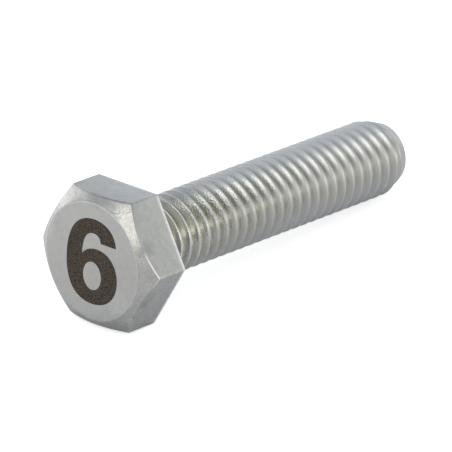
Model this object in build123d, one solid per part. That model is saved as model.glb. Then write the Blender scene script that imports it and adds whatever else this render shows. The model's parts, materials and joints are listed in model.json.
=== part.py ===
from build123d import *
import math
import os

# A fully threaded hexagon head screw, M6 x 28, cold headed and thread rolled from one
# piece of stainless steel. Millimetres and degrees.
#
# It is built upright on its own axis: the bearing face under the head is the plane Z = 0,
# the shank grows along +Z and the head lies below. Last, the whole screw is laid down as
# it comes to rest: on one flat of the head and on the last full crest of the thread.

# ---- Driving dimensions ----

# Head
across_flats = 10.0             # wrench size
head_height = 3.7               # bearing face to top face
top_face_diameter = 8.9         # flat circle inside the chamfer
chamfer_angle = 35.5            # the chamfer's slope, measured from the top face
wrench_edge_radius = 0.12       # rounding of the six long edges

# Shank
shank_length = 28.4             # bearing face to the end of the point
neck_diameter = 5.3             # plain neck between the head and the thread
neck_length = 0.9
corner_clearance = 0.05         # the strengthened corner ends this far outside the crests
point_diameter = 4.7            # flat end of the point
point_half_angle = 20.0

# Thread, right hand, 60 degree metric form
thread_diameter = 5.93          # over the crests: 6 mm less the running allowance
thread_pitch = 1.0
thread_root_diameter = 5.2      # flat bottom of the groove as modelled, just under the neck
thread_flank_angle = 30.0       # each flank, from the plane square to the axis
thread_start = 0.166            # height of a crest where it crosses the X axis below the thread
runout_length = 1.0             # the thread rises from the neck to full height in this length

# ---- Derived sizes ----

corner_radius = across_flats / math.sqrt(3)
crest_radius = thread_diameter / 2
root_radius = thread_root_diameter / 2
neck_radius = neck_diameter / 2
neck_corner = crest_radius + corner_clearance - neck_radius
flank_slope = math.tan(math.radians(thread_flank_angle))
point_slope = math.tan(math.radians(point_half_angle))
last_full_crest = shank_length - (crest_radius - point_diameter / 2) / point_slope
ridge_sink = 0.05 * thread_pitch            # the ridge is rooted this deep in the core
tool_margin = thread_pitch                  # cutting tools reach this far past the steel


def revolved(*corners):
    """A solid of revolution about Z from (radius, height) corners."""
    profile = Polyline(*[(radius, 0, height) for radius, height in corners], close=True)
    return revolve(make_face(profile), Axis.Z)


def hex_head():
    """The six-sided head with its turned chamfer round the top face."""
    prism = extrude(RegularPolygon(across_flats / 2, 6, major_radius=False), -head_height)
    prism = fillet(prism.edges().filter_by(Axis.Z), wrench_edge_radius)
    top_radius = top_face_diameter / 2
    chamfer_drop = (corner_radius - top_radius) * math.tan(math.radians(chamfer_angle))
    turned = revolved(
        (0, -head_height),
        (top_radius, -head_height),
        (corner_radius, chamfer_drop - head_height),
        (corner_radius, 0),
        (0, 0),
    )
    return prism & turned


def core():
    """The shank inside the thread: corner, neck, taper to the groove's depth, plain core."""
    return revolved(
        (0, -neck_corner),
        (neck_radius + 2 * neck_corner, -neck_corner),
        (neck_radius, neck_corner),
        (neck_radius, neck_length),
        (root_radius, neck_length + runout_length),
        (root_radius, shank_length + tool_margin),
        (0, shank_length + tool_margin),
    )


def ridge_turn():
    """One turn of the thread's ridge, with its foot sunk in the core, to be stacked by the pitch."""
    foot_radius = root_radius - ridge_sink
    half_foot = (crest_radius - foot_radius) * flank_slope
    section = make_face(
        Polyline(
            (foot_radius, 0, thread_start - half_foot),
            (crest_radius, 0, thread_start),
            (foot_radius, 0, thread_start + half_foot),
            close=True,
        )
    )
    path = Helix(thread_pitch, thread_pitch, foot_radius, center=(0, 0, thread_start))
    return sweep(section, path=path, is_frenet=True)


def thread_envelope():
    """The room the ridge may fill: hidden in the neck, rising over the run-out, then full height."""
    hidden_radius = neck_radius - ridge_sink
    outer_radius = crest_radius + tool_margin
    rise = (crest_radius - hidden_radius) / runout_length
    return revolved(
        (0, neck_length / 2),
        (hidden_radius, neck_length / 2),
        (hidden_radius, neck_length),
        (outer_radius, neck_length + (outer_radius - hidden_radius) / rise),
        (outer_radius, shank_length + 2 * thread_pitch),
        (0, shank_length + 2 * thread_pitch),
    )


def ridge():
    """All the turns of the ridge, each trimmed to the envelope."""
    envelope = thread_envelope()
    turn = ridge_turn()
    first = math.floor(neck_length / 2 / thread_pitch) - 1
    last = math.ceil(shank_length / thread_pitch)
    return [Pos(0, 0, step * thread_pitch) * turn & envelope for step in range(first, last)]


def point_cutter():
    """What the chamfered point leaves off: a cone round the end and all that lies past it."""
    outer_radius = crest_radius + tool_margin
    cone_foot = shank_length - (outer_radius - point_diameter / 2) / point_slope
    past_end = shank_length + 3 * thread_pitch
    return revolved(
        (0, shank_length),
        (point_diameter / 2, shank_length),
        (outer_radius, cone_foot),
        (outer_radius, past_end),
        (0, past_end),
    )


def resting_place():
    """The plane whose Z is the screw's axis when it lies on a flat of its head and on its thread."""
    head_drop = across_flats / 2 - crest_radius
    tilt = math.atan2(head_drop, last_full_crest)
    return Plane(origin=(0, 0, 0), x_dir=(0, 1, 0), z_dir=(math.cos(tilt), 0, -math.sin(tilt)))


threaded_shank = core() + ridge() - point_cutter()
upright_screw = hex_head() + threaded_shank
hex_screw = resting_place() * upright_screw

os.makedirs("parts", exist_ok=True)
export_step(hex_screw, "parts/hex_screw.step")
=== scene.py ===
import json
import math
from types import SimpleNamespace

import bmesh
import bpy
from mathutils import Matrix, Quaternion, Vector


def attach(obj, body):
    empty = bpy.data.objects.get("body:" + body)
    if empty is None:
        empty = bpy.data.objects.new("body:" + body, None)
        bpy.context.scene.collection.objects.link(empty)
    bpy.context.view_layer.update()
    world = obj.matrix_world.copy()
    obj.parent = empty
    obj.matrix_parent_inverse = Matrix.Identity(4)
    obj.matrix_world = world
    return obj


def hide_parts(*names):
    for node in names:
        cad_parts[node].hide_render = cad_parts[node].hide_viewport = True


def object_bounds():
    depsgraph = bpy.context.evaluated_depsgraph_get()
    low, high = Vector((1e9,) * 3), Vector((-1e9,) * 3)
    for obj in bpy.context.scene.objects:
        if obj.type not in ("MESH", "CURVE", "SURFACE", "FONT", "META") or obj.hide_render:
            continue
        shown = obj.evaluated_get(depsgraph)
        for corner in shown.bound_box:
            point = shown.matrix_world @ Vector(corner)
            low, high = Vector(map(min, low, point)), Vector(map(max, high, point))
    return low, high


# A hex head screw of plain stainless steel, lying at rest on a pale studio floor. Metres.
# The screw is shaped in its own frame, with X along its axis from the head to the point, its
# origin at the centre of the bearing face and Z square to one flat of the head. Then it is
# laid down where the frame has it.

MM = 0.001

# ---- Sizes of the screw, in metres ----
ACROSS_FLATS = 10.0 * MM
HEAD_HEIGHT = 3.7 * MM
TOP_FACE_RADIUS = 4.45 * MM
CHAMFER_SLOPE = math.radians(35.5)
WRENCH_EDGE_RADIUS = 0.1215 * MM        # a hair over the solid's edge, to stay inside its box
CORNER_FOOT_RADIUS = 3.015 * MM
NECK_RADIUS = 2.65 * MM
NECK_LENGTH = 0.9 * MM
RUNOUT_LENGTH = 1.0 * MM
SHANK_LENGTH = 28.4 * MM
POINT_RADIUS = 2.35 * MM
POINT_SLOPE = math.radians(20.0)

# the thread
PITCH = 1.0 * MM
CREST_RADIUS = 2.965 * MM
CREST_WIDTH = 0.08 * MM
CREST_ROUNDING = 0.03 * MM
ROOT_RADIUS = 2.39 * MM
ROOT_ROUNDING = 0.2 * MM
THREAD_START = 0.166 * MM
FADING_TURNS = (-1.6, -0.3)             # turns before the end where the groove fills up
POINT_FILL = 0.22 * MM                  # how far it fills up there

# roundings of the turned and formed edges
FACE_EDGE = 0.11 * MM
SIDE_EDGE = 0.09 * MM
BACK_EDGE = 0.10 * MM
POINT_EDGE = 0.12 * MM

# the mark on the top face
MARK_SCALE = 1.1
MARK_DEPTH = 0.02 * MM
MARK_PROUD = 0.006 * MM


# ---------------------------------------------------------------- node tree helpers


class Field:
    """A number inside a node tree, so that a rule can be written as a sum."""

    def __init__(self, tree, socket):
        self.tree = tree
        self.socket = socket

    def math(self, operation, *others):
        node = self.tree.nodes.new("ShaderNodeMath")
        node.operation = operation
        for slot, value in enumerate((self, *others)):
            feed(self.tree, value, node.inputs[slot])
        return Field(self.tree, node.outputs[0])

    def __add__(self, other):
        return self.math("ADD", other)

    def __sub__(self, other):
        return self.math("SUBTRACT", other)

    def __mul__(self, other):
        return self.math("MULTIPLY", other)

    def __truediv__(self, other):
        return self.math("DIVIDE", other)

    __radd__ = __add__
    __rmul__ = __mul__

    def __rsub__(self, other):
        return self.math("MULTIPLY_ADD", -1.0, other)

    def __neg__(self):
        return self.math("MULTIPLY", -1.0)

    def smaller(self, other):
        return self.math("MINIMUM", other)

    def larger(self, other):
        return self.math("MAXIMUM", other)

    def clamp(self, low, high):
        return self.larger(low).smaller(high)

    def above(self, other):
        return self.math("GREATER_THAN", other)

    def mix(self, other, share):
        """This value where share is 0, the other where it is 1."""
        return self + (as_field(self.tree, other) - self) * share

    def eased(self):
        """A share from 0 to 1, slowed at both ends."""
        return self * self * (3.0 - 2.0 * self)

    def ramp(self, start, full):
        """0 before start, 1 past full, smooth in between; it falls if full is below start."""
        return ((self - start) / (full - start)).clamp(0.0, 1.0).eased()

    def band(self, start, full, fading, end):
        """1 from full to fading, 0 outside start and end, smooth in between."""
        return self.ramp(start, full) * self.ramp(end, fading)


def feed(tree, value, socket):
    """Put a field or a plain number into a socket."""
    if isinstance(value, Field):
        tree.links.new(value.socket, socket)
    else:
        socket.default_value = value


def as_field(tree, value):
    if isinstance(value, Field):
        return value
    node = tree.nodes.new("ShaderNodeValue")
    node.outputs[0].default_value = value
    return Field(tree, node.outputs[0])


# ---------------------------------------------------------------- the screw's shape

COLUMNS = 120                           # columns of faces round the axis
EDGE_COLUMNS = 3                        # of them, on each side of a long edge of the head
FLAT_CROWDING = 1.6                     # the power by which a flat's columns crowd to its edges
ROWS_PER_TURN = 20
TURNS = 30
ROW_CROWDING = 0.6                      # how far the thread's rows crowd to its crest and root
WELD_DISTANCE = 0.0002 * MM

# Rows of faces in each stretch of the outline, from the middle of the top face to the middle
# of the point's end
STRETCHES = {
    "top face": 8,
    "face edge": 4,
    "chamfer": 6,
    "side edge": 5,
    "side": 16,
    "back edge": 5,
    "bearing face": 5,
    "corner": 7,
    "thread": ROWS_PER_TURN * TURNS,
    "point edge": 5,
    "end face": 5,
}
ROWS = sum(STRETCHES.values())

# Named inputs of the node tree
SIZES = {
    "Across flats": ACROSS_FLATS,
    "Head height": HEAD_HEIGHT,
    "Top face radius": TOP_FACE_RADIUS,
    "Wrench edge radius": WRENCH_EDGE_RADIUS,
    "Corner foot radius": CORNER_FOOT_RADIUS,
    "Neck radius": NECK_RADIUS,
    "Neck length": NECK_LENGTH,
    "Run-out length": RUNOUT_LENGTH,
    "Shank length": SHANK_LENGTH,
    "Point radius": POINT_RADIUS,
    "Pitch": PITCH,
    "Crest radius": CREST_RADIUS,
    "Crest width": CREST_WIDTH,
    "Root radius": ROOT_RADIUS,
    "Thread start": THREAD_START,
    "Face edge": FACE_EDGE,
    "Side edge": SIDE_EDGE,
    "Back edge": BACK_EDGE,
    "Point edge": POINT_EDGE,
}

# How bright each edge is made. The rims of the face, the back and the point carry painted
# highlights; the long edges of the head and the crests are partly worn bright and partly painted
# highlight. The crests are marked down to a share of the thread's depth, and the painted highlight
# of the rim at the back reaches some rows past its edge on both sides.
FACE_EDGE_GLINT = 0.12
POINT_EDGE_GLINT = 0.5
LONG_EDGE_WEAR_AND_GLINT = 0.45
LONG_EDGE_REACH = 1.3                   # times the width of the edge's rounding
BACK_RIM_GLINT = 1.4
BACK_RIM_ROWS = (2.4, 1.0)
CREST_WEAR_DEPTH = 0.07


def first_row(name):
    """The row of the grid where a stretch of the outline starts."""
    names = list(STRETCHES)
    return float(sum(STRETCHES[earlier] for earlier in names[:names.index(name)]))


def share_of(row, name):
    """How far along a stretch a row is: 0 up to its start, 1 from its end on."""
    return ((row - first_row(name)) / float(STRETCHES[name])).clamp(0.0, 1.0)


def inside(row, name):
    """1 on the rows within a stretch, 0 on its ends and outside it."""
    share = share_of(row, name)
    return (share * (1.0 - share)).above(0.0)


def hump(row, name):
    """1 in the middle of a stretch, falling to 0 at its ends."""
    share = share_of(row, name)
    return (share * (1.0 - share) * 6.0).smaller(1.0)


def hexagon_outline(turn, sizes):
    """Distance from the axis and angle of the rounded hexagon at each column, and how close
    the column is to a long edge: 1 on the edge, 0 on the flat."""
    size, edge_radius = sizes["Across flats"], sizes["Wrench edge radius"]
    sector = math.pi / 3
    corner = (turn / sector).math("ROUND") * sector
    local = turn - corner
    side = local.math("SIGN")
    off = local.math("ABSOLUTE")
    edge_span = 2 * math.pi * EDGE_COLUMNS / COLUMNS
    edge_centre = size / math.sqrt(3) - edge_radius / math.cos(sector / 2)
    bend = (off / edge_span).smaller(1.0) * (sector / 2)
    along = edge_centre + edge_radius * bend.math("COSINE")
    across = edge_radius * bend.math("SINE")
    flat_share = ((off - edge_span) / (sector / 2 - edge_span)).clamp(0.0, 1.0)
    flat_share = flat_share.math("POWER", FLAT_CROWDING)
    along = along.mix(size / 2 * math.cos(sector / 2), flat_share)
    across = across.mix(size / 2 * math.sin(sector / 2), flat_share)
    radius = (along * along + across * across).math("SQRT")
    angle = corner + side * across.math("ARCTAN2", along)
    near_edge = (1.0 - off / (edge_span * LONG_EDGE_REACH)).clamp(0.0, 1.0)
    return radius, angle, near_edge


def thread_radius(along, turn, sizes):
    """The 60 degree thread: flat crest, straight flanks and rounded root, with its run-out by
    the neck and its fading end on the point. The groove's depth comes with it."""
    wave = (along - sizes["Thread start"]) / sizes["Pitch"] - turn / (2 * math.pi)
    off_crest = (wave - wave.math("ROUND")).math("ABSOLUTE") * sizes["Pitch"]
    flank = sizes["Crest radius"] - (off_crest - sizes["Crest width"] / 2.0) * math.sqrt(3)
    tooth = flank.math("SMOOTH_MIN", sizes["Crest radius"], CREST_ROUNDING)
    tooth = tooth.math("SMOOTH_MAX", sizes["Root radius"], ROOT_ROUNDING)
    rise = ((along - sizes["Neck length"]) / sizes["Run-out length"]).clamp(0.0, 1.0)
    fade = ((along - sizes["Shank length"]) / sizes["Pitch"]).ramp(*FADING_TURNS)
    floor = sizes["Neck radius"].mix(sizes["Root radius"], rise) + fade * POINT_FILL
    ceiling = sizes["Neck radius"].mix(sizes["Crest radius"], rise)
    cone = sizes["Point radius"] + (sizes["Shank length"] - along) * math.tan(POINT_SLOPE)
    top = ceiling.smaller(cone)
    radius = tooth.larger(floor).smaller(top)
    return radius, top - radius


def thread_height(row, turn, sizes, lowest, highest):
    """Rows that climb with the helix, held between the corner and the point's edge."""
    turns = (row - first_row("thread")) / float(ROWS_PER_TURN)
    crowd = (turns * (4 * math.pi)).math("SINE") * (ROW_CROWDING / (4 * math.pi))
    helix = sizes["Thread start"] + (turns - 1.0 - crowd + turn / (2 * math.pi)) * sizes["Pitch"]
    return helix.larger(lowest).smaller(highest)


def outline_runs(hexagon, sizes, thread_end, end_radius, zero):
    """Every stretch of the outline but the thread: the (radius, height) places where it starts
    and ends and, where it rounds a corner, that corner between them."""
    top = -sizes["Head height"]
    face, face_edge = sizes["Top face radius"], sizes["Face edge"]
    side_edge, back_edge = sizes["Side edge"], sizes["Back edge"]
    down, out = math.sin(CHAMFER_SLOPE), math.cos(CHAMFER_SLOPE)
    shoulder = top + (hexagon - face) * math.tan(CHAMFER_SLOPE)
    foot, neck = sizes["Corner foot radius"], sizes["Neck radius"]
    point, point_edge = sizes["Point radius"], sizes["Point edge"]
    length = sizes["Shank length"]

    face_rim = (face - face_edge, top)
    chamfer_start = (face + face_edge * out, top + face_edge * down)
    chamfer_end = (hexagon - side_edge * out, shoulder - side_edge * down)
    side_start = (hexagon, shoulder + side_edge)
    side_end = (hexagon, -back_edge)
    bearing_rim = (hexagon - back_edge, zero)
    point_rim = (point - point_edge, length)
    return {
        "top face": ((zero, top), None, face_rim),
        "face edge": (face_rim, (face, top), chamfer_start),
        "chamfer": (chamfer_start, None, chamfer_end),
        "side edge": (chamfer_end, (hexagon, shoulder), side_start),
        "side": (side_start, None, side_end),
        "back edge": (side_end, (hexagon, zero), bearing_rim),
        "bearing face": (bearing_rim, None, (foot, zero)),
        "corner": ((foot, zero), (neck, zero), (neck, foot - neck)),
        "point edge": ((end_radius, thread_end), (point, length), point_rim),
        "end face": (point_rim, None, (zero, length)),
    }


def place_on(run, share):
    """The radius and height at a share of a run, straight or round its corner."""
    start, corner, end = run
    if corner is None:
        share = share.eased()
        return [a.mix(b, share) for a, b in zip(start, end)]
    return [a.mix(b, share).mix(b.mix(c, share), share) for a, b, c in zip(*run)]


def skin_marks(row, near_edge, thread, depth, sizes):
    """What the finish has to know of each place, from 0 to 1: how bright it is made, by wear and by
    painted highlight, the edge between chamfer and flats, the turned chamfer, and the depth in the
    groove."""
    full_depth = sizes["Crest radius"] - sizes["Root radius"]
    below_crest = (sizes["Crest radius"] - thread) / full_depth
    rim_start, rim_end = BACK_RIM_ROWS
    rim = (row - (first_row("back edge") - rim_start)).clamp(0.0, 1.0)
    rim = rim * (first_row("bearing face") + rim_end - row).clamp(0.0, 1.0)
    # the rims of the face, the back and the point are painted highlight; long edges and crests are wear and
    # painted highlight
    worn = hump(row, "face edge") * FACE_EDGE_GLINT
    worn = worn.larger(inside(row, "side") * near_edge * LONG_EDGE_WEAR_AND_GLINT)
    worn = worn.larger(rim * BACK_RIM_GLINT)
    worn = worn.larger(inside(row, "thread") * (1.0 - below_crest / CREST_WEAR_DEPTH).clamp(0.0, 1.0))
    worn = worn.larger(hump(row, "point edge") * POINT_EDGE_GLINT)
    return {
        "worn": worn,
        "arris": hump(row, "side edge"),
        "turned": inside(row, "chamfer"),
        "groove": inside(row, "thread") * (depth / full_depth).clamp(0.0, 1.0),
    }


def flat_grid(tree):
    """A flat sheet of faces, and the column and row of each of its corners."""
    grid = tree.nodes.new("GeometryNodeMeshGrid")
    grid.inputs["Size X"].default_value = 1.0
    grid.inputs["Size Y"].default_value = 1.0
    grid.inputs["Vertices X"].default_value = COLUMNS + 1
    grid.inputs["Vertices Y"].default_value = ROWS + 1
    place = tree.nodes.new("GeometryNodeInputPosition")
    split = tree.nodes.new("ShaderNodeSeparateXYZ")
    tree.links.new(place.outputs[0], split.inputs[0])
    column = ((Field(tree, split.outputs["X"]) + 0.5) * COLUMNS).math("ROUND")
    row = ((Field(tree, split.outputs["Y"]) + 0.5) * ROWS).math("ROUND")
    return grid.outputs["Mesh"], column, row


def next_node(tree, kind, skin):
    """Run the skin through one more node."""
    node = tree.nodes.new(kind)
    tree.links.new(skin, node.inputs["Geometry"])
    return node, node.outputs["Geometry"]


def screw_tree(steel):
    """Node tree of the whole screw as one closed skin, from the centre of the head's top face
    over the head, the bearing face and the thread to the centre of the point."""
    tree = bpy.data.node_groups.new("threaded screw", "GeometryNodeTree")
    tree.interface.new_socket(name="Geometry", in_out="OUTPUT", socket_type="NodeSocketGeometry")
    inputs = {}
    for name, value in SIZES.items():
        socket = tree.interface.new_socket(name=name, in_out="INPUT", socket_type="NodeSocketFloat")
        inputs[socket.identifier] = value
    socket = tree.interface.new_socket(name="Finish", in_out="INPUT", socket_type="NodeSocketMaterial")
    inputs[socket.identifier] = steel
    entry = tree.nodes.new("NodeGroupInput")
    sizes = {name: Field(tree, entry.outputs[name]) for name in SIZES}

    # the sheet's columns go round the axis, its rows along the outline
    skin, column, row = flat_grid(tree)
    turn = column * (2 * math.pi / COLUMNS)
    hexagon, hexagon_angle, near_edge = hexagon_outline(turn, sizes)
    corner_height = sizes["Corner foot radius"] - sizes["Neck radius"]
    thread_end = sizes["Shank length"] - sizes["Point edge"]
    climb = thread_height(row, turn, sizes, corner_height, thread_end)
    thread, depth = thread_radius(climb, turn, sizes)
    end_radius = thread_radius(thread_end, turn, sizes)[0]
    zero = as_field(tree, 0.0)
    runs = outline_runs(hexagon, sizes, thread_end, end_radius, zero)

    radius, height = zero, -sizes["Head height"]
    for name in STRETCHES:
        here = (row - first_row(name)).above(0.5)
        place = (thread, climb) if name == "thread" else place_on(runs[name], share_of(row, name))
        radius = radius.mix(place[0], here)
        height = height.mix(place[1], here)
    angle = hexagon_angle.mix(turn, share_of(row, "bearing face").eased())

    # the marks are stored before the sheet is shaped, while its places still give the rows
    for name, value in skin_marks(row, near_edge, thread, depth, sizes).items():
        store, skin = next_node(tree, "GeometryNodeStoreNamedAttribute", skin)
        store.data_type = "FLOAT"
        store.domain = "POINT"
        store.inputs["Name"].default_value = name
        feed(tree, value, store.inputs["Value"])
    combine = tree.nodes.new("ShaderNodeCombineXYZ")
    feed(tree, height, combine.inputs["X"])
    feed(tree, radius * angle.math("COSINE"), combine.inputs["Y"])
    feed(tree, radius * angle.math("SINE"), combine.inputs["Z"])
    shape, skin = next_node(tree, "GeometryNodeSetPosition", skin)
    tree.links.new(combine.outputs[0], shape.inputs["Position"])
    weld, skin = next_node(tree, "GeometryNodeMergeByDistance", skin)
    weld.inputs["Distance"].default_value = WELD_DISTANCE
    skin = next_node(tree, "GeometryNodeSetShadeSmooth", skin)[1]
    skin = next_node(tree, "GeometryNodeRealizeInstances", skin)[1]
    dress, skin = next_node(tree, "GeometryNodeSetMaterial", skin)
    tree.links.new(entry.outputs["Finish"], dress.inputs["Material"])
    leave = tree.nodes.new("NodeGroupOutput")
    tree.links.new(skin, leave.inputs["Geometry"])
    return tree, inputs


def grown(name, tree, inputs, lay):
    """The plain mesh that a node tree grows, laid in its place."""
    seed = bpy.data.objects.new(name, bpy.data.meshes.new(name))
    bpy.context.scene.collection.objects.link(seed)
    modifier = seed.modifiers.new("shape", "NODES")
    modifier.node_group = tree
    for identifier, value in inputs.items():
        modifier[identifier] = value
    bpy.context.view_layer.update()
    shaped = seed.evaluated_get(bpy.context.evaluated_depsgraph_get())
    mesh = bpy.data.meshes.new_from_object(shaped)
    seed.modifiers.remove(modifier)
    mesh.name = name
    mesh.transform(lay)
    mesh.update()
    seed.data = mesh
    return seed


# ---------------------------------------------------------------- the mark on the head

# The size number of the screw, drawn with cubic curves in millimetres across and up the top
# face: each stretch is its two handles and its end.
NUMERAL_START = (2.10, 1.42)
NUMERAL = [
    ((1.98, 2.42), (1.22, 2.975), (0.12, 2.975)),
    ((-1.42, 2.975), (-2.28, 1.80), (-2.28, -0.16)),
    ((-2.28, -1.98), (-1.50, -2.975), (0.02, -2.975)),
    ((1.36, -2.975), (2.24, -2.14), (2.24, -0.92)),
    ((2.24, 0.20), (1.48, 0.94), (0.44, 0.94)),
    ((-0.12, 0.94), (-0.58, 0.74), (-0.90, 0.36)),
    ((-0.88, 1.42), (-0.54, 1.98), (0.10, 1.98)),
    ((0.46, 1.98), (0.68, 1.78), (0.74, 1.42)),
    ((1.20, 1.42), (1.65, 1.42), (2.10, 1.42)),
]
COUNTER_START = (0.02, -0.04)
COUNTER = [
    ((0.46, -0.04), (0.82, -0.48), (0.82, -1.02)),
    ((0.82, -1.56), (0.46, -2.00), (0.02, -2.00)),
    ((-0.42, -2.00), (-0.78, -1.56), (-0.78, -1.02)),
    ((-0.78, -0.48), (-0.42, -0.04), (0.02, -0.04)),
]
CURVE_STEPS = 16                        # straight steps in each stretch


def closed_curve(curve, start, stretches):
    """A closed outline on a flat curve, from its handles."""
    spline = curve.splines.new("BEZIER")
    spline.bezier_points.add(len(stretches) - 1)
    ends = [start] + [stretch[2] for stretch in stretches[:-1]]
    for index, point in enumerate(spline.bezier_points):
        point.handle_left_type = point.handle_right_type = "FREE"
        point.co = (*ends[index], 0.0)
        point.handle_right = (*stretches[index][0], 0.0)
        point.handle_left = (*stretches[index - 1][1], 0.0)
    spline.use_cyclic_u = True


def numeral_plate(name):
    """The numeral in millimetres as a closed flat plate, welded, with its faces outwards."""
    curve = bpy.data.curves.new(name, "CURVE")
    curve.dimensions = "2D"
    curve.fill_mode = "BOTH"
    curve.resolution_u = CURVE_STEPS
    curve.extrude = MARK_DEPTH / (MARK_SCALE * MM)
    closed_curve(curve, NUMERAL_START, NUMERAL)
    closed_curve(curve, COUNTER_START, COUNTER)
    drawn = bpy.data.objects.new(name, curve)
    bpy.context.scene.collection.objects.link(drawn)
    bpy.context.view_layer.update()
    shaped = drawn.evaluated_get(bpy.context.evaluated_depsgraph_get())
    mesh = bpy.data.meshes.new_from_object(shaped)
    bpy.data.objects.remove(drawn)
    mesh.name = name
    skin = bmesh.new()
    skin.from_mesh(mesh)
    bmesh.ops.remove_doubles(skin, verts=skin.verts, dist=0.0001)
    bmesh.ops.recalc_face_normals(skin, faces=skin.faces)
    skin.to_mesh(mesh)
    skin.free()
    return mesh


def numeral(name, lay, material):
    """The mark let into the top face, standing a hair proud of it."""
    mesh = numeral_plate(name)
    # its own right runs along -Y, its own up along Z, and its front looks away from the shank
    across_face = Matrix(((0.0, 0.0, -1.0), (-1.0, 0.0, 0.0), (0.0, 1.0, 0.0))).to_4x4()
    sunk = Matrix.Translation((-HEAD_HEIGHT + MARK_DEPTH - MARK_PROUD, 0.0, 0.0))
    mesh.transform(lay @ sunk @ across_face @ Matrix.Scale(MARK_SCALE * MM, 4))
    mesh.materials.clear()
    mesh.materials.append(material)
    mark = bpy.data.objects.new(name, mesh)
    bpy.context.scene.collection.objects.link(mark)
    return mark


# ---------------------------------------------------------------- helpers for finishes


GRAIN_SPREAD = 3.5                      # stretches a noise's usual range to -1 to 1


def principled(name):
    material = bpy.data.materials.new(name)
    material.use_nodes = True
    tree = material.node_tree
    shader = next(n for n in tree.nodes if n.type == "BSDF_PRINCIPLED")
    return material, tree, shader


def attribute(tree, name):
    node = tree.nodes.new("ShaderNodeAttribute")
    node.attribute_name = name
    return Field(tree, node.outputs["Fac"])


def own_place(tree, tilt):
    """A point of the screw in millimetres, along its axis, across and up."""
    where = tree.nodes.new("ShaderNodeTexCoord")
    level = tree.nodes.new("ShaderNodeMapping")
    level.inputs["Rotation"].default_value = (0.0, -tilt, 0.0)
    level.inputs["Scale"].default_value = (1.0 / MM, 1.0 / MM, 1.0 / MM)
    tree.links.new(where.outputs["Object"], level.inputs["Vector"])
    split = tree.nodes.new("ShaderNodeSeparateXYZ")
    tree.links.new(level.outputs[0], split.inputs[0])
    return level.outputs[0], [Field(tree, split.outputs[part]) for part in ("X", "Y", "Z")]


def grain(tree, where, scale, detail=2.0, stretch=None):
    """A noise about 0, mostly within -1 and 1, at this many grains a millimetre."""
    if stretch:
        pull = tree.nodes.new("ShaderNodeMapping")
        pull.inputs["Scale"].default_value = stretch
        tree.links.new(where, pull.inputs["Vector"])
        where = pull.outputs[0]
    noise = tree.nodes.new("ShaderNodeTexNoise")
    noise.inputs["Scale"].default_value = scale
    noise.inputs["Detail"].default_value = detail
    tree.links.new(where, noise.inputs["Vector"])
    return (Field(tree, noise.outputs[0]) - 0.5) * GRAIN_SPREAD


def spot(at, centre, reach):
    """1 in the middle of a round place on the steel, 0 outside it."""
    shares = [(part - middle) / half for part, middle, half in zip((at.x, at.y, at.z), centre, reach)]
    return (1.0 - sum(share * share for share in shares)).clamp(0.0, 1.0)


def zone(at, **reaches):
    """1 in a stretch of the steel, 0 outside it. Each reach is named for what it measures and
    gives where the stretch starts and is full and, if it ends again, fades and is gone."""
    total = None
    for part, reach in reaches.items():
        field = getattr(at, part)
        within = field.ramp(*reach) if len(reach) == 2 else field.band(*reach)
        total = within if total is None else total * within
    return total


def paint(tree, level, tint, socket):
    """A grey level with a tint of its own in each colour."""
    colour = tree.nodes.new("ShaderNodeCombineColor")
    for part, share in zip(("Red", "Green", "Blue"), tint):
        feed(tree, level * share, colour.inputs[part])
    tree.links.new(colour.outputs[0], socket)


def emboss(tree, relief, depth, shader):
    """Small relief in the finish, this deep in metres."""
    bump = tree.nodes.new("ShaderNodeBump")
    bump.inputs["Distance"].default_value = depth
    feed(tree, relief, bump.inputs["Height"])
    tree.links.new(bump.outputs["Normal"], shader.inputs["Normal"])


# ---------------------------------------------------------------- stainless steel and its mark

# Grey of the head's flats and of the thread before anything is laid over them, of a place
# made bright by wear and by painted highlight, and the darkest and lightest that the steel gets
HEAD_GREY = 0.425
THREAD_GREY = 0.49
WEAR_AND_GLINT_GREY = 0.85
DARKEST, LIGHTEST = 0.02, 0.95
STEEL_TINT = (1.0, 1.004, 0.983)

# Roughness of the head and of the thread behind it, and what the thread gains further on
HEAD_ROUGHNESS = 0.29
THREAD_ROUGHNESS, FURTHER_ON, BY_THE_TIP = 0.17, 0.11, 0.04
STEEL_RELIEF_DEPTH = 0.007 * MM

# The laser mark
BURNT_GREY = 0.055
BURNT_BROWN = (1.0, 0.78, 0.55)
MARK_ROUGHNESS = 0.62
MARK_RELIEF_DEPTH = 0.006 * MM

# Places on the steel are in the screw's own millimetres. Smudges on the head: middle, reach
# and strength. A place rubbed clean has a strength below nought.
THUMB_PRINT = ((-3.4, -0.2, 4.8), (0.6, 1.4, 0.9), 0.22)
SMUDGES = [
    ((-3.2, 1.8, 4.8), (0.7, 1.3, 0.8), -0.20),
    ((-3.3, -2.4, 4.4), (0.5, 0.7, 0.7), -0.26),
    ((-3.4, -3.3, 3.6), (0.5, 0.6, 0.8), 0.16),
    ((-3.4, 4.5, 1.7), (0.6, 0.9, 1.8), -0.22),
    ((-2.75, -4.6, 2.1), (0.7, 0.7, 0.75), 0.26),
    ((-3.45, -4.45, 1.85), (0.35, 0.5, 0.6), 0.30),
    ((-2.9, -4.45, -2.3), (0.4, 0.5, 0.6), 0.30),
    ((-2.7, -4.6, -1.6), (0.7, 1.0, 1.8), 0.14),
]
PALE_PLACE = ((-3.7, -2.9, -2.4), (1.0, 1.6, 1.8))
RUBBED_CORNER = ((-2.9, -5.2, 0.7), (0.8, 1.2, 1.7))
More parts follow.
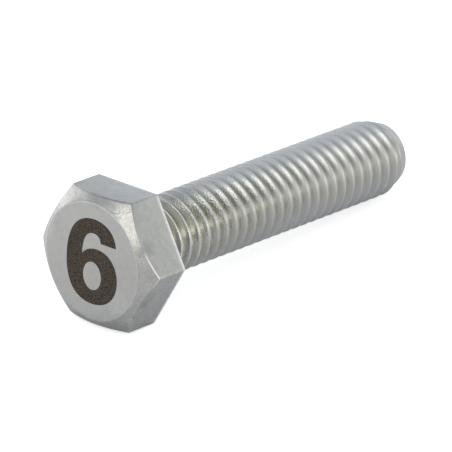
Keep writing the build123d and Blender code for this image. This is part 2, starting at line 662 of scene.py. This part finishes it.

# Painted light and shade on the thread, in lighter and darker stretches: strength, then the
# reach along the axis, across, up and into the groove
PAINTED_THREAD_TONES = {
    "first turn": (0.25, {"x": (1.2, 1.8, 2.3, 2.9), "z": (0.9, 1.8)}),
    "near grooves, halfway down": (
        0.20, {"x": (1.6, 2.4, 3.5, 5.8), "z": (-0.8, 0.0, 0.15, 0.65), "groove": (0.25, 0.6)}
    ),
    "shade on top, behind the head": (-0.20, {"x": (3.3, 4.3, 5.5, 8.0), "y": (-1.4, -0.4), "z": (2.5, 2.8)}),
    "dull band under the gleam": (
        -0.09, {"x": (4.5, 5.5, 10.0, 13.0), "y": (0.0, -0.6), "z": (1.2, 1.6, 1.9, 2.3)}
    ),
    "clefts beside the gleam": (
        -0.22, {"x": (5.0, 7.0, 16.0, 21.0), "y": (0.0, -0.5), "z": (1.7, 2.0), "groove": (0.55, 0.85)}
    ),
    "gleam along the shoulder": (
        0.18, {"x": (5.5, 7.5, 11.0, 14.0), "y": (0.0, -0.6), "z": (2.3, 2.6, 2.8, 2.95)}
    ),
}
# painted light and shade by the tip: a painted highlight, and painted shade on the brow of the point
PAINTED_TIP_TONES = {
    "gleam by the tip": (0.13, {"x": (19.0, 23.5, 27.0, 27.8), "y": (-0.9, -1.5), "z": (1.7, 2.1, 2.4, 2.7)}),
    "brow of the point": (-0.12, {"x": (27.3, 27.9), "z": (1.7, 2.2)}),
}


def steel_places(tree, tilt):
    """All that the steel's layers go by: the place on the screw, the marks stored on its skin,
    grains of several sizes, and its regions, each 1 inside and 0 outside."""
    where, (x, y, z) = own_place(tree, tilt)
    at = SimpleNamespace(tree=tree, x=x, y=y, z=z)
    for name in ("worn", "arris", "turned", "groove"):
        setattr(at, name, attribute(tree, name))

    at.cloud = grain(tree, where, 0.45, 3.0)
    at.mottle = grain(tree, where, 1.9, 3.0)
    at.smear = grain(tree, where, 0.8, 3.0, (1.6, 0.8, 0.9))
    at.streak = grain(tree, where, 1.0, 3.0, (9.0, 0.8, 3.0))
    at.fine = grain(tree, where, 5.5, 2.0)
    at.speck = grain(tree, where, 9.0, 1.0)

    # the head: its top face, its six flats, the one on top, and the +Y side of its chamfer
    at.shank = x.ramp(-0.1, 0.1)
    at.head = 1.0 - at.shank
    at.face = x.ramp(-3.64, -3.69)
    at.flat = at.head * (1.0 - at.face) * (1.0 - at.turned)
    at.top_flat = z.ramp(4.85, 4.97) * at.flat
    at.outer = y.ramp(2.2, 4.2)
    # the shank: by the head, further on, the crown, the warm middle, the lower part and the
    # underside
    at.by_head = x.ramp(5.8, 3.5) * at.shank
    at.far = x.ramp(4.0, 18.0)
    at.farther = x.ramp(8.0, 22.0)
    at.crown = z.ramp(2.65, 2.9)
    at.warm = (1.0 - ((z - 0.6) / 1.5) * ((z - 0.6) / 1.5)).clamp(0.0, 1.0) * at.shank
    at.low = z.ramp(1.7, 0.6)
    at.underside = z.ramp(-0.3, -2.4) * at.shank
    # what faces the room overhead
    at.skyward = z.ramp(2.0, 3.2) * at.shank + at.top_flat
    # the groove: its sides, its bottom and the slopes between crest and bottom
    at.flank = at.groove.band(0.3, 0.5, 0.75, 0.95)
    at.bottom = at.groove.ramp(0.75, 0.95)
    at.slope = at.groove.band(0.12, 0.28, 0.55, 0.8)
    return at


def toned(at, level, tones):
    """The grey with its painted light and shade, in lighter and darker stretches."""
    return level * (1.0 + sum(zone(at, **reaches) * strength for strength, reaches in tones.values()))


def base_grey(at):
    """The steel's own greys, the thread lighter than the head, with clouds, specks and streaks; and
    painted light: the face lighter to its top and to +Y, the upper flats lighter to their back, and
    the thread lighter below and towards its point."""
    level = as_field(at.tree, HEAD_GREY).mix(THREAD_GREY, at.shank)
    # the top face with its pale place and painted light to its top and to +Y, then the flats,
    # the upper ones with painted light, lighter to their back
    pale = spot(at, *PALE_PLACE)
    level = level + at.face * (0.100 + at.z * 0.005 + at.y * 0.004 + pale * 0.06)
    level = level + at.flat * as_field(at.tree, 0.020).mix((at.x + 2.2) * 0.020, at.z.ramp(-0.3, 0.3))
    # painted light on the thread, lighter below and towards its point
    level = level * (1.0 + at.underside * 0.11 + at.shank * (at.x - 12.0) * 0.0018)
    # grain of every size; the small ones fade towards the point
    small = at.fine * 0.05 + at.speck * (0.04 - at.flat * 0.02)
    small = small * (1.0 - at.face * 0.75) * (1.0 - at.far * 0.85)
    blotches = at.mottle * (0.045 + at.flat * 0.045) * (1.0 - at.far * 0.5)
    level = level * (1.0 + at.cloud * 0.05 + blotches + small)
    return level * (1.0 + (at.streak * 0.05 + at.smear * 0.045) * at.head * (1.0 - at.face))


def chamfer_grey(at, level):
    """The turned chamfer, a little lighter and speckled by the tool, with painted light: lighter on
    its outer side and towards its top, dimmed where the lamp's highlight falls, and painted shade
    towards its foot.
    """
    lit = zone(at, y=(-2.2, -3.8), z=(0.5, 2.5))
    foot = at.z.ramp(-3.4, -4.8)
    specks = at.fine * 0.07 + at.speck * 0.09
    # painted light on the outer side and upwards, painted dimming at the lamp's highlight, painted shade at
    # the foot
    more = 0.10 + at.outer * 0.32 - lit * 0.08 - foot * 0.14 + at.z * 0.015 + specks
    return level * (1.0 + at.turned * more)


def groove_shade_and_light(at, level):
    """Painted shade in the grooves, blotched, and painted light in the grooves on the lower side,
    standing for light from the floor; painted shade on the shoulders by the crests in the warm
    middle and on the lower flanks, both fading towards the point.
    """
    past_neck = at.x.ramp(3.0, 8.0)
    shaded = at.flank * (0.13 + past_neck * 0.07 - at.farther * 0.08)
    shaded = shaded + at.bottom * (0.15 + past_neck * 0.05 - at.farther * 0.60)
    blotch = 0.8 + (at.mottle * 0.3 + at.fine * 0.2) * (1.0 - at.far * 0.7)
    lit = at.low * (at.groove * 0.21 + at.bottom * at.farther * 0.30)
    # painted shade, blotched, in the grooves, and painted light in the lower grooves
    level = level * (1.0 - shaded * (1.0 - at.low) * blotch + lit)
    # painted shade on the shoulders by the crests and on the lower flanks
    shoulder = at.groove.band(0.08, 0.22, 0.36, 0.5) * at.warm * past_neck
    below = at.flank * at.z.ramp(0.0, -0.8)
    return level * (1.0 - (1.0 - at.farther) * (shoulder * 0.10 + below * 0.12))


def smudged(at, level):
    """Handling smudges, and places rubbed clean, by the chamfer."""
    smudge = sum(spot(at, centre, reach) * strength for centre, reach, strength in [THUMB_PRINT, *SMUDGES])
    return level * (1.0 - smudge * (0.75 + at.fine * 0.5).clamp(0.0, 1.0))


def edges_worn_and_glinting(at, level):
    """Edges and crests made bright, partly worn and partly painted highlight: the crests most by the
    head, where the light picks them out, and the edge between chamfer and flats most by the rubbed
    corner at the head's side. How bright each place is comes with the grey."""
    rubbed = spot(at, *RUBBED_CORNER) * 1.2
    patch = (0.62 + at.mottle * 0.35 + at.fine * 0.35 + rubbed).clamp(0.0, 1.0)
    # painted highlight on the crests: brighter by the head, where the light picks them out, fading further on
    bright = at.worn * (1.0 + at.shank * 0.2 - at.x.ramp(2.0, 9.0) * 0.9) * patch
    bright = bright * (1.0 - at.head * at.z.ramp(4.7, 4.95) * 0.7)
    rubbed = rubbed.smaller(1.0)
    bright = bright.larger(at.arris * rubbed * 0.8).smaller(1.0)
    # painted shade on the edge between chamfer and flats on one side, painted light on the other
    side_light = zone(at, y=(-2.8, -3.0), z=(-0.8, 0.0, 3.8, 4.8))
    dark = 0.10 - at.y.ramp(-1.6, 0.6) * 0.32 - side_light * 0.30
    level = level * (1.0 - at.arris * (1.0 - rubbed) * dark)
    return level.mix(WEAR_AND_GLINT_GREY, bright).clamp(DARKEST, LIGHTEST), bright


def near_turns(at, level):
    """Painted light and shade on the first turns by the head: lighter flanks over darker groove
    bottoms, and a darker crown right by the head.
    """
    lift = zone(at, x=(2.3, 3.2, 3.5, 5.8), z=(0.4, 1.4, 2.45, 2.75))
    contrast = at.slope * 0.45 - at.groove.ramp(0.7, 0.95) * 0.35
    return level * (1.0 + lift * contrast - at.by_head * at.crown * 0.08)


def olive_by_head(at):
    """A light olive tint on the flanks of the first turns."""
    upper = at.z.ramp(0.8, 2.2) * (1.0 - at.crown) * (0.5 + at.slope * 0.3)
    lower = at.z.ramp(0.1, 0.4) * at.slope * 0.35
    return (at.by_head * (upper + lower) * (0.85 + at.mottle * 0.25)).clamp(0.0, 1.5)


def groove_olive(at):
    """Olive tint in the grooves, weaker where they face up, near their bottom and far off."""
    olive_share = at.groove.ramp(0.2, 0.9) * (at.mottle * 0.2 + at.fine * 0.15 + 0.7).clamp(0.0, 1.0)
    olive_share = olive_share * (1.0 - at.skyward * at.x.ramp(1.5, 5.0)) * (1.0 - at.far * 0.65)
    olive_share = olive_share * as_field(at.tree, 0.35).mix(1.0, at.y.ramp(1.5, -0.8))
    return olive_share * (1.5 - at.low * 0.5) * (1.0 - at.bottom * 0.55)


def steel_tint(at, bright):
    """The steel's tint: how much of its grey goes into red, green and blue, with painted highlight
    and reflection colours among its layers.
    """
    olive_by_head_share = olive_by_head(at)
    near_side = at.turned * (1.0 - at.outer)
    side = at.flat - at.top_flat
    sheen = at.skyward * (1.0 - at.by_head * 0.6)
    print_tint = at.turned * spot(at, *THUMB_PRINT[:2])
    lower_side = side * zone(at, x=(-2.4, -1.0), z=(0.0, -1.0))
    # each layer with what it adds to red and to blue
    layers = {
        "olive in the grooves": (groove_olive(at) + olive_by_head_share * 0.35, 0.020, -0.170),
        "olive_by_head": (olive_by_head_share, 0.006, 0.0),
        # painted reflection: cool from the room overhead
        "painted cool sheen from overhead": (sheen, -0.035, 0.040),
        # painted highlight colour: cream where the lamp's highlight falls on the chamfer, and on the bright
        # edges
        "painted cream highlight, chamfer and edges": (near_side * at.z.ramp(-2.5, 1.0) + bright * 0.4, 0.008, -0.025),
        "cool chamfer": (at.turned * (at.outer + at.z.ramp(-2.0, -4.0)).smaller(1.0), 0.0, 0.030),
        "cooler outer side": (at.turned * at.outer, 0.0, 0.030),
        # painted highlight colour: warm on the chamfer's corner under the lamp
        "painted warm highlight, chamfer corner": (at.turned * zone(at, y=(-1.8, -2.8), z=(2.6, 4.0)), 0.016, 0.0),
        "tan face": (at.face * at.z.ramp(-4.0, -2.0), 0.012, -0.018),
        "green flats": (side, -0.010, -0.011),
        "blue on the lower flats and the thumb print": (lower_side + print_tint * 0.6, 0.0, 0.050),
        "warm middle": (at.warm, 0.012, -0.030),
        "warm middle, further on": (at.warm * at.far, 0.0, -0.020),
        "cool underside": (at.underside, 0.0, 0.020),
        "cool towards the point": (at.far * at.shank, 0.0, 0.018),
        "warm by the head": ((1.0 - at.far) * (1.0 - at.skyward) * at.shank, 0.0, -0.015),
    }
    red, green, blue = STEEL_TINT
    for layer, more_red, more_blue in layers.values():
        red = layer * more_red + red if more_red else red
        blue = layer * more_blue + blue if more_blue else blue
    return red, green, blue


def steel_roughness(at):
    """Satin on the head, smoother on the rolled thread, dull again towards the point."""
    thread = THREAD_ROUGHNESS + at.x.ramp(3.0, 18.0) * FURTHER_ON + at.x.ramp(17.0, 24.0) * BY_THE_TIP
    rough = as_field(at.tree, HEAD_ROUGHNESS).mix(thread, at.shank) + at.turned * 0.01
    rough = rough + (at.mottle * 0.03 + at.fine * 0.02) * (1.0 - at.far * 0.8)
    return rough.clamp(0.08, 0.6)


def steel_relief(at):
    """Tool marks, grain and pits, fading towards the point."""
    relief = at.fine.clamp(-1.0, 1.0) * (0.25 + at.turned * 0.4 + at.shank * 0.35)
    relief = relief + at.speck.clamp(-1.0, 1.0) * (0.1 + at.turned * 0.35 + at.shank * 0.6)
    relief = relief + at.mottle * 0.4 + at.streak * 0.3 * at.head
    return relief * (1.0 - at.x.ramp(4.0, 16.0) * 0.65) * (1.0 - at.low * at.shank * 0.6)


def stainless_steel(tilt):
    """Satin stainless steel: a ground top face and turned chamfer, plain flats with faint
    streaks, and a rolled thread with painted shade in its grooves and crests bright from wear and
    painted highlight; painted light and shade lie over head and thread."""
    material, tree, shader = principled("stainless steel")
    shader.inputs["Metallic"].default_value = 1.0
    at = steel_places(tree, tilt)
    level = base_grey(at)
    level = chamfer_grey(at, level)
    level = groove_shade_and_light(at, level)
    level = smudged(at, level)
    level, bright = edges_worn_and_glinting(at, level)
    # painted light on the thread's upper side towards the point; painted shade on the top flat, more to +Y
    dim = at.head * (0.06 + at.y.ramp(0.6, 2.4) * 0.07)
    level = level * (1.0 + at.skyward * (at.far * 0.13 - dim))
    level = near_turns(at, level)
    level = toned(at, level, PAINTED_THREAD_TONES)
    level = toned(at, level, PAINTED_TIP_TONES)
    paint(tree, level, steel_tint(at, bright), shader.inputs["Base Color"])
    feed(tree, steel_roughness(at), shader.inputs["Roughness"])
    emboss(tree, steel_relief(at), STEEL_RELIEF_DEPTH, shader)
    return material


def laser_mark(tilt):
    """Steel burnt dark brown by a laser: matt, finely speckled, scratched here and there."""
    material, tree, shader = principled("laser mark")
    where, (x, y, z) = own_place(tree, tilt)
    mottle = grain(tree, where, 1.3, 2.0)
    fine = grain(tree, where, 6.0, 2.0)
    speck = grain(tree, where, 10.0, 1.0)
    burnt = BURNT_GREY * (1.0 + mottle * 0.10 + fine * 0.75 + speck).larger(0.1)
    scratch = grain(tree, where, 1.0, 2.0, (1.0, 1.6, 7.0)).ramp(0.62, 0.85) * y.ramp(-0.9, -1.4)
    red, green, blue = BURNT_BROWN
    paint(tree, burnt + scratch * 0.09, (red, green, blue + scratch * 0.3), shader.inputs["Base Color"])
    feed(tree, (MARK_ROUGHNESS + fine * 0.08).clamp(0.3, 0.9), shader.inputs["Roughness"])
    shader.inputs["Specular IOR Level"].default_value = 0.25
    emboss(tree, fine * 0.6 + speck * 0.5, MARK_RELIEF_DEPTH, shader)
    return material


# ---------------------------------------------------------------- studio

FLOOR_REACH = 1.5
FLOOR_GREY = (0.88, 0.88, 0.88, 1.0)
FLOOR_GLOW, FLOOR_GLOW_MIRRORED = 0.62, 0.04        # straight to the camera, and in the steel
ROOM_LIGHT, OVERHEAD_LIGHT = 0.98, 0.73
OVERHEAD = (0.20, 0.60)                             # the room dims between these heights

AIM = Vector((10.08, -0.51, -1.64)) * MM            # the middle of the screw
LAMP_DISTANCE = 0.5
WHITE = (1.0, 1.0, 1.0)
WARM_WHITE = (1.0, 0.975, 0.88)
LAMPS = [
    # name, direction from the screw, width, power, colour
    ("softbox", (-0.87, -0.10, 0.47), 0.27, 0.26, WARM_WHITE),
    ("left_fill", (0.08, 0.99, -0.02), 0.40, 0.33, WHITE),
    ("right_fill", (0.20, -0.97, 0.05), 0.30, 0.21, WHITE),
]
CAMERA_AZIMUTH = math.radians(-47.392)
CAMERA_ELEVATION = math.radians(24.466)
CAMERA_ROLL = math.radians(-1.392)
CAMERA_DISTANCE = 445.21 * MM
CAMERA_LENS = 482.18                                # on a sensor 36 wide


def looked_at(tree):
    """1 where the camera looks straight at a surface, and 1 where the surface is mirrored or
    seen through glass."""
    path = tree.nodes.new("ShaderNodeLightPath")
    glossy = Field(tree, path.outputs["Is Glossy Ray"])
    clear = Field(tree, path.outputs["Is Transmission Ray"])
    return Field(tree, path.outputs["Is Camera Ray"]), glossy + clear


def studio_floor_finish():
    """Matt white that glows a little, so that it looks as white as the room behind it and
    still holds a shadow."""
    material = bpy.data.materials.new("white floor")
    material.use_nodes = True
    tree = material.node_tree
    tree.nodes.clear()
    out = tree.nodes.new("ShaderNodeOutputMaterial")
    matt = tree.nodes.new("ShaderNodeBsdfDiffuse")
    matt.inputs["Color"].default_value = FLOOR_GREY
    glow = tree.nodes.new("ShaderNodeEmission")
    glow.inputs["Color"].default_value = (*WHITE, 1.0)
    direct, mirrored = looked_at(tree)
    feed(tree, direct * FLOOR_GLOW + mirrored * FLOOR_GLOW_MIRRORED, glow.inputs["Strength"])
    both = tree.nodes.new("ShaderNodeAddShader")
    tree.links.new(matt.outputs[0], both.inputs[0])
    tree.links.new(glow.outputs[0], both.inputs[1])
    tree.links.new(both.outputs[0], out.inputs["Surface"])
    return material


def studio_floor(level):
    mesh = bpy.data.meshes.new("studio_floor")
    corners = [(-1, -1), (1, -1), (1, 1), (-1, 1)]
    mesh.from_pydata([(x * FLOOR_REACH, y * FLOOR_REACH, level) for x, y in corners], [], [(0, 1, 2, 3)])
    mesh.materials.append(studio_floor_finish())
    floor = bpy.data.objects.new("studio_floor", mesh)
    bpy.context.scene.collection.objects.link(floor)


def studio_air():
    """White behind the object, and a plain soft light from all round: white up to the height
    of the backdrop, dimmer and a little cooler overhead."""
    world = bpy.data.worlds.new("studio")
    world.use_nodes = True
    tree = world.node_tree
    shade = next(n for n in tree.nodes if n.type == "BACKGROUND")
    direct, mirrored = looked_at(tree)
    toward = tree.nodes.new("ShaderNodeTexCoord")
    split = tree.nodes.new("ShaderNodeSeparateXYZ")
    tree.links.new(toward.outputs["Generated"], split.inputs[0])
    overhead = Field(tree, split.outputs["Z"]).ramp(*OVERHEAD)
    room = as_field(tree, ROOM_LIGHT).mix(OVERHEAD_LIGHT, overhead)
    white = direct.larger(mirrored * (1.0 - overhead))
    feed(tree, room.mix(1.0, white), shade.inputs["Strength"])
    cool = overhead * (1.0 - direct)
    tint = (1.0 - cool * 0.04, 1.0 - cool * 0.008, 1.0 + cool * 0.03)
    paint(tree, as_field(tree, 1.0), tint, shade.inputs["Color"])
    bpy.context.scene.world = world


def lamp(name, toward, width, power, colour):
    """A round soft lamp in a direction from the screw, turned to it."""
    data = bpy.data.lights.new(name, "AREA")
    data.shape = "DISK"
    data.size = width
    data.energy = power
    data.color = colour
    light = bpy.data.objects.new(name, data)
    away = Vector(toward).normalized()
    light.location = AIM + away * LAMP_DISTANCE
    light.rotation_euler = (-away).to_track_quat("-Z", "Y").to_euler()
    bpy.context.scene.collection.objects.link(light)


def camera():
    data = bpy.data.cameras.new("camera")
    data.sensor_width = 36.0
    data.lens = CAMERA_LENS
    data.clip_start = 0.01
    data.clip_end = 10.0
    eye = bpy.data.objects.new("camera", data)
    away = Vector((
        math.sin(CAMERA_AZIMUTH) * math.cos(CAMERA_ELEVATION),
        -math.cos(CAMERA_AZIMUTH) * math.cos(CAMERA_ELEVATION),
        math.sin(CAMERA_ELEVATION),
    ))
    eye.location = AIM + away * CAMERA_DISTANCE
    level = (-away).to_track_quat("-Z", "Y")
    eye.rotation_mode = "QUATERNION"
    eye.rotation_quaternion = level @ Quaternion((0.0, 0.0, 1.0), CAMERA_ROLL)
    bpy.context.scene.collection.objects.link(eye)
    bpy.context.scene.camera = eye


# ---------------------------------------------------------------- the scene


def screw_place(record):
    """The screw's own frame as it lies: from the centre of the bearing face along its axis."""
    bearing = next(mount for mount in record["mounts"] if mount["name"] == "bearing_face")
    axis = Vector(bearing["axis"]).normalized()
    across = Vector((0.0, 1.0, 0.0))
    lay = Matrix((axis, across, axis.cross(across))).transposed().to_4x4()
    lay.translation = Vector(bearing["pos_m"])
    return lay, math.atan2(-axis.z, axis.x)


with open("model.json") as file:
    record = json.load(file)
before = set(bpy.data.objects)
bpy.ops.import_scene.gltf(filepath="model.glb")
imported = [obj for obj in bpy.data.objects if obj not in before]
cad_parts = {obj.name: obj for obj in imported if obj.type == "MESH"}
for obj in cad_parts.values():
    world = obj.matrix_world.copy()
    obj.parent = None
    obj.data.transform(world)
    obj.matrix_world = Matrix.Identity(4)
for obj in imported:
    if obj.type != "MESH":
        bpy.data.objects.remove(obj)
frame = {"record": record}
cad_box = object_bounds()

lay, tilt = screw_place(frame["record"])
tree, inputs = screw_tree(stainless_steel(tilt))
screw = grown("screw", tree, inputs, lay)
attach(screw, "root")
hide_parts("hex_screw")

mark = numeral("size_mark", lay, laser_mark(tilt))
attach(mark, "root")

studio_floor(cad_box[0].z)
studio_air()
for settings in LAMPS:
    lamp(*settings)
camera()

bpy.context.scene.view_settings.view_transform = "Standard"
